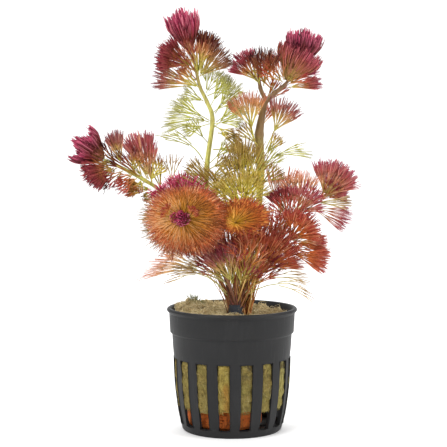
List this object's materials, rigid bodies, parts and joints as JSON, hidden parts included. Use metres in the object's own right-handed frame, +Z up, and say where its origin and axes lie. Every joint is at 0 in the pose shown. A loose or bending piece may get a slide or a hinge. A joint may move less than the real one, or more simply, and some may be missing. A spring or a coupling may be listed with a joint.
{
  "type": "potted red cabomba",
  "caption": "Net pot of wet rock wool holding a bunch of water plant shoots with feathery fan leaves, green at the base and red at the tips.",
  "frame": {"origin": "centre of the pot's underside, on the surface that it stands on", "axes": "+Z up along the pot's axis, -Y towards the front of the plant, +X to the right seen from there"},
  "size_m": [0.1143, 0.0627, 0.167],
  "materials": {
    "pot_plastic": "moulded, satin",
    "rock_wool": "wet mineral fibre, matt",
    "fired_clay": "unglazed, matt",
    "band_rubber": "matt",
    "stem_green": "soft green stem, satin",
    "leaf_green": "thin leaf threads, yellow-green",
    "leaf_orange": "thin leaf threads, orange",
    "leaf_red": "thin leaf threads, dark red",
    "leaf_pink": "thin leaf threads, magenta",
    "leaf_pale": "thin leaf threads, pale"
  },
  "bodies": {
    "root": {"pot": "pot_plastic", "clay_disc": "fired_clay", "wool_plug": "rock_wool", "stem_band": "band_rubber", "stem_left": "stem_green", "stem_right": "stem_green", "stem_side": "stem_green", "stem_front_left": "stem_green", "stem_lower_right": "stem_green", "stem_middle": "stem_green", "leaf_left_1": "leaf_red", "leaf_left_2": "leaf_red", "leaf_left_3": "leaf_red", "leaf_left_4": "leaf_orange", "leaf_left_5": "leaf_green", "leaf_left_6": "leaf_green", "leaf_left_7": "leaf_green", "leaf_left_8": "leaf_pale", "leaf_left_9": "leaf_pale", "leaf_right_1": "leaf_red", "leaf_right_2": "leaf_red", "leaf_right_3": "leaf_pink", "leaf_right_4": "leaf_orange", "leaf_right_5": "leaf_pink", "leaf_right_6": "leaf_green", "leaf_middle_1": "leaf_green", "leaf_middle_2": "leaf_green", "leaf_middle_3": "leaf_pale", "leaf_side_1": "leaf_red", "leaf_side_2": "leaf_orange", "leaf_side_3": "leaf_pink", "leaf_side_4": "leaf_green", "leaf_side_5": "leaf_pale", "leaf_side_6": "leaf_pink", "leaf_lower_1": "leaf_red", "leaf_lower_2": "leaf_pink", "leaf_lower_3": "leaf_pale", "leaf_lower_4": "leaf_red", "leaf_lower_5": "leaf_pink", "leaf_lower_6": "leaf_orange", "leaf_lower_7": "leaf_orange", "leaf_lower_8": "leaf_red", "leaf_lower_9": "leaf_red", "leaf_lower_10": "leaf_red", "leaf_foot_1": "leaf_orange", "leaf_foot_2": "leaf_pink", "leaf_foot_3": "leaf_pale", "leaf_foot_4": "leaf_pale", "leaf_foot_5": "leaf_pale", "leaf_foot_6": "leaf_pale", "leaf_back_1": "leaf_orange", "leaf_back_2": "leaf_orange", "leaf_back_3": "leaf_orange", "tip_left": "leaf_pink", "tip_right": "leaf_pink", "whorl_right": "leaf_red", "tip_side": "leaf_pink", "whorl_front_left": "leaf_orange", "tip_front_left": "leaf_pink", "whorl_front": "leaf_orange"}
  },
  "joints": []
}
